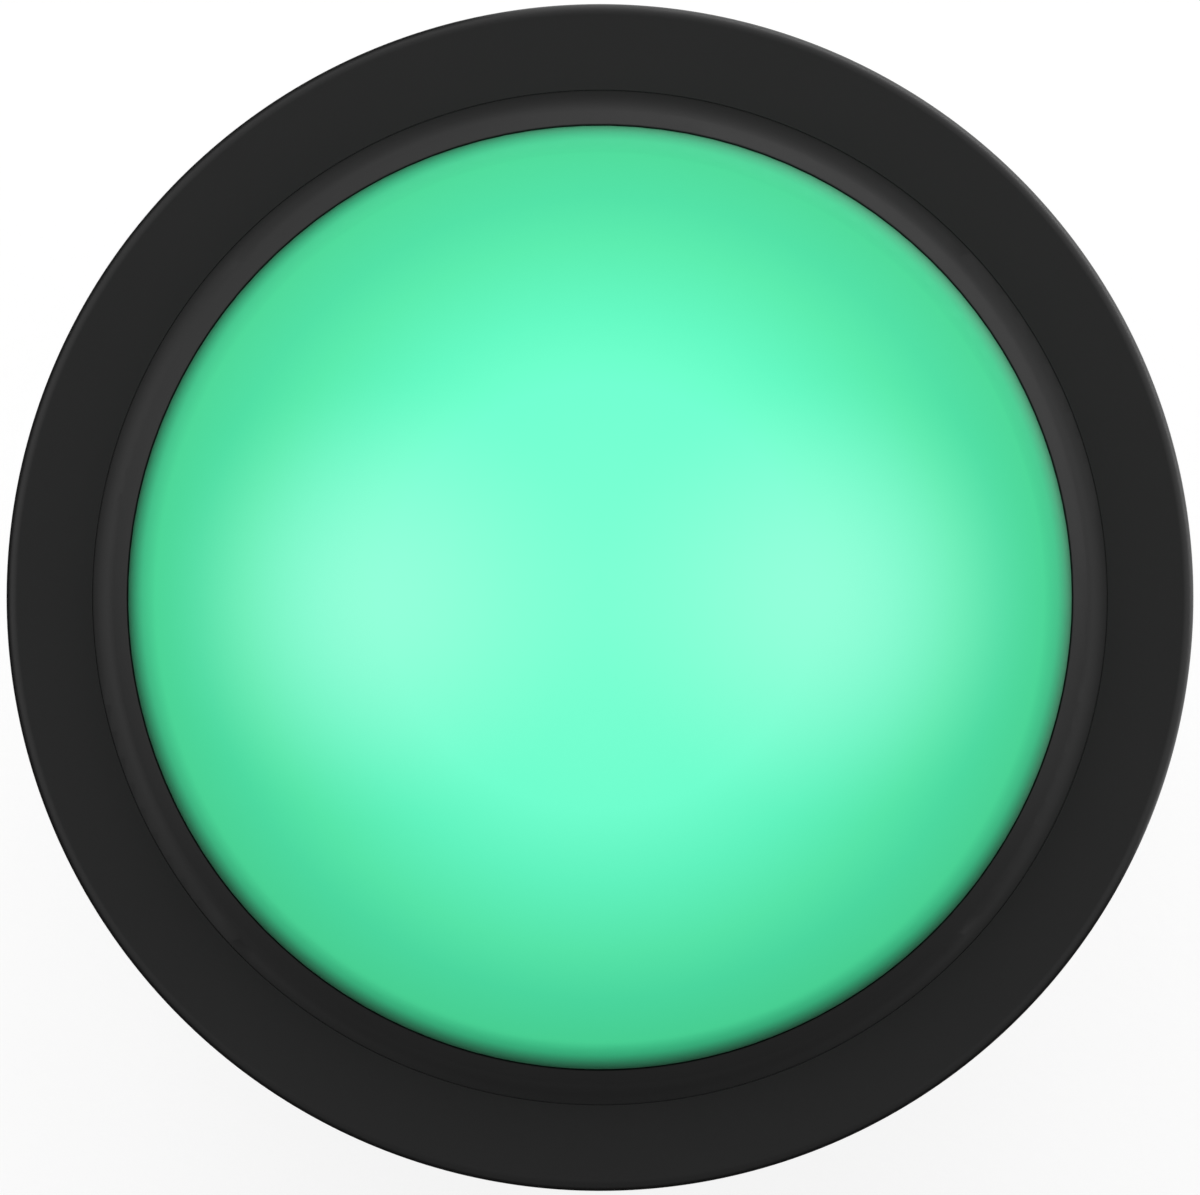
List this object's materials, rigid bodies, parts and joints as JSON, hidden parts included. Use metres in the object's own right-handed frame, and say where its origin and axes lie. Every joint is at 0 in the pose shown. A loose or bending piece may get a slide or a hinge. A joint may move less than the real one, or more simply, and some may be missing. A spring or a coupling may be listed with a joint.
{
  "type": "arcade push button",
  "caption": "Round lit push button: flat black bezel, crowned green lens on a sprung plunger, threaded barrel with a ring nut for a panel hole, lamp board and clip-in microswitch below.",
  "frame": {"origin": "on the button's axis, at the panel's front face where the flange's underside sits", "axes": "+Z along the axis out of the panel towards the player, X along the row of lamps and the switch's length"},
  "size_m": [0.033, 0.033, 0.0573],
  "materials": {
    "black_abs": "satin moulded black",
    "green_lens": "translucent green, lit from inside",
    "white_pom": "natural white moulding",
    "spring_steel": "drawn wire and stamped strip",
    "circuit_board": "white solder mask",
    "lamp_epoxy": "clear epoxy",
    "tinned_wire": "tinned",
    "chip_ceramic": "glazed chip",
    "tinned_brass": "tin plated, stamped",
    "black_nylon": "matt moulded black",
    "switch_phenolic": "moulded dark grey",
    "switch_pin": "moulded red",
    "spring_copper": "rolled spring alloy",
    "contact_silver": "coined contact face"
  },
  "bodies": {
    "body": {"bezel_ring": "black_abs", "bezel_body": "black_abs", "trim_ring": "black_abs", "return_spring": "spring_steel", "led_board": "circuit_board", "led_left": "lamp_epoxy", "led_right": "lamp_epoxy", "led_leads": "tinned_wire", "led_resistors": "chip_ceramic", "led_terminal_positive": "tinned_brass", "led_terminal_negative": "tinned_brass", "switch_holder": "black_nylon", "switch_case": "switch_phenolic", "switch_cover": "switch_phenolic", "common_terminal": "tinned_brass", "normally_open_terminal": "tinned_brass", "normally_closed_terminal": "tinned_brass", "fixed_contacts": "contact_silver"},
    "plunger": {"lens_cap": "green_lens", "plunger_carrier": "white_pom", "retaining_clip": "spring_steel"},
    "switch_pin": {"switch_button": "switch_pin"},
    "blade": {"moving_blade": "spring_copper", "moving_contact": "contact_silver"},
    "nut": {"lock_nut": "black_nylon"}
  },
  "joints": [
    {"name": "button_press", "type": "slide", "parent": "body", "child": "plunger", "axis": [0, 0, -1], "range_m": [0, 0.0035], "stiffness_N_per_m": 150, "springref_m": -0.004, "deforming": ["return_spring"]},
    {"name": "switch_pin_press", "type": "slide", "parent": "body", "child": "switch_pin", "axis": [0, 0, -1], "range_m": [0, 0.0008]},
    {"name": "blade_rock", "type": "hinge", "parent": "body", "child": "blade", "pos_m": [-0.007, 0, -0.03495], "axis": [0, 1, 0], "range_deg": [0, 5.6]},
    {"name": "nut_run", "type": "slide", "parent": "body", "child": "nut", "axis": [0, 0, -1], "range_m": [0, 0.015]}
  ],
  "couplings": [
    {"joint": "switch_pin_press", "follows": "button_press", "ratio": 0.228},
    {"joint": "blade_rock", "follows": "button_press", "rad_per_m": 27.7}
  ]
}
